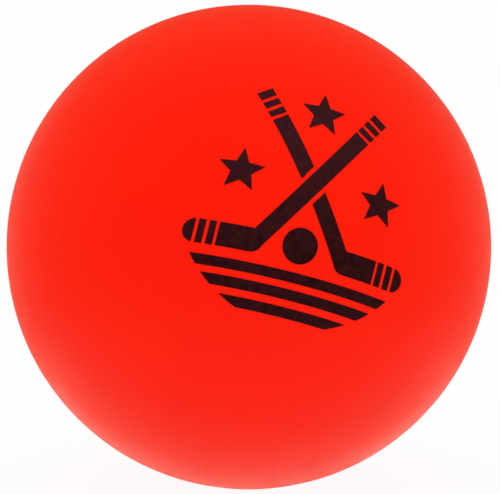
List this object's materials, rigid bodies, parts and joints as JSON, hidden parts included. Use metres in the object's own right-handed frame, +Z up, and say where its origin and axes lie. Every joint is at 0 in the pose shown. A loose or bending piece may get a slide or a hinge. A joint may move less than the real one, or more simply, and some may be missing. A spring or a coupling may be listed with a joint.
{
  "type": "roller hockey ball",
  "caption": "Hollow soft PVC ball for roller and street hockey, matte red-orange, two welded halves with a printed crossed-sticks emblem.",
  "frame": {"origin": "centre of the ball", "axes": "+Z up; the front half faces -Y and the seam lies in the XZ plane; the emblem is on the front half, turned towards +X and up"},
  "size_m": [0.065, 0.0651, 0.065],
  "materials": {
    "shell_pvc": "soft matte moulded PVC",
    "weld_pvc": "trimmed and buffed PVC",
    "ink": "flat pad-printing ink"
  },
  "bodies": {
    "root": {"front_half_shell": "shell_pvc", "rear_half_shell": "shell_pvc", "seam_weld": "weld_pvc", "print_upper_stick": "ink", "print_lower_stick": "ink", "print_stars": "ink", "print_ball_spot": "ink", "print_floor_bars": "ink"}
  },
  "joints": []
}
